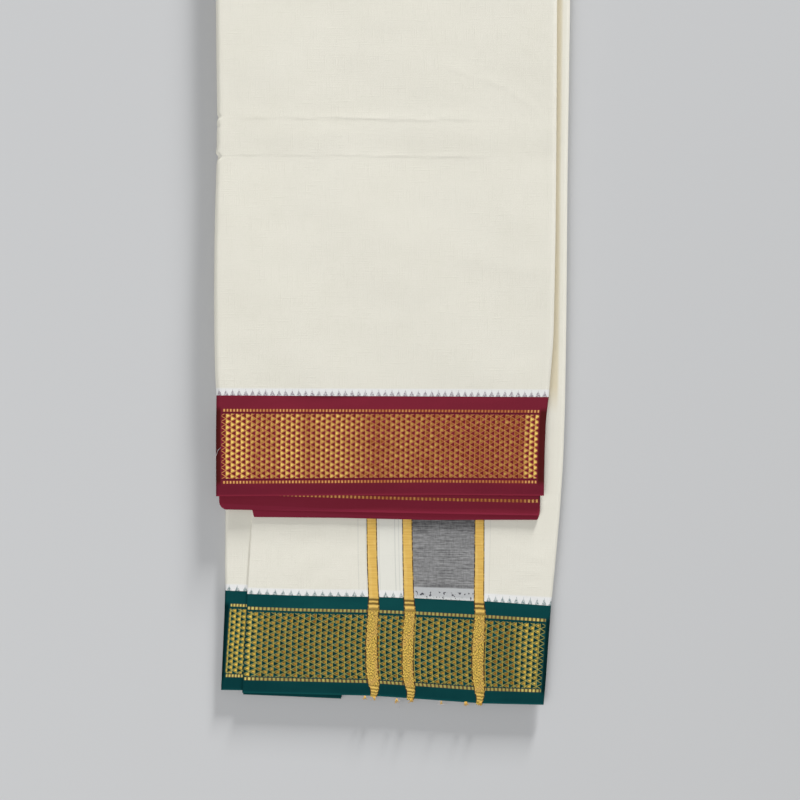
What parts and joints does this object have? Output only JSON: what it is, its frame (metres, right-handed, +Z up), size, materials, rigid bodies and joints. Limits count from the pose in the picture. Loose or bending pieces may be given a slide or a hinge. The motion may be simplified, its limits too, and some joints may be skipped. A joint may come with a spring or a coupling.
{
  "type": "folded dhoti cloth",
  "caption": "Loom-woven cotton dhoti folded into a narrow flat stack, with a maroon zari border lying over a green one and gold stripes across one end.",
  "frame": {"origin": "under the middle of the folded cloth, on the surface that it rests on", "axes": "+Y along the cloth towards the crosswise fold, +X to the right seen from above, +Z up out of the maroon side"},
  "size_m": [0.2672, 0.7136, 0.0165],
  "materials": {
    "cream_cotton": "fine plain weave, unbleached cream cotton, matt",
    "striped_cream_cotton": "the same cotton with gold zari stripes and a grey slub band across it",
    "maroon_zari_border": "close maroon weave with a gold zari triangle lattice between rows of gold dashes",
    "green_zari_border": "close bottle green weave with a gold zari triangle lattice between rows of gold dashes",
    "zari_thread": "gold zari thread, metallic sheen"
  },
  "bodies": {
    "root": {"top_leaf_body": "cream_cotton", "top_leaf_maroon_border": "maroon_zari_border", "top_fold": "cream_cotton", "under_leaf_body": "cream_cotton", "under_leaf_green_border": "green_zari_border", "second_maroon_leaf": "maroon_zari_border", "third_maroon_leaf": "maroon_zari_border", "upper_hidden_layers": "cream_cotton", "maroon_hidden_layers": "maroon_zari_border", "lower_leaf_body": "striped_cream_cotton", "lower_leaf_green_border": "green_zari_border", "second_lower_leaf_body": "cream_cotton", "second_lower_leaf_green_border": "green_zari_border", "peeking_green_leaf": "green_zari_border", "lower_hidden_layers": "cream_cotton", "green_hidden_layers": "green_zari_border"}
  },
  "joints": []
}
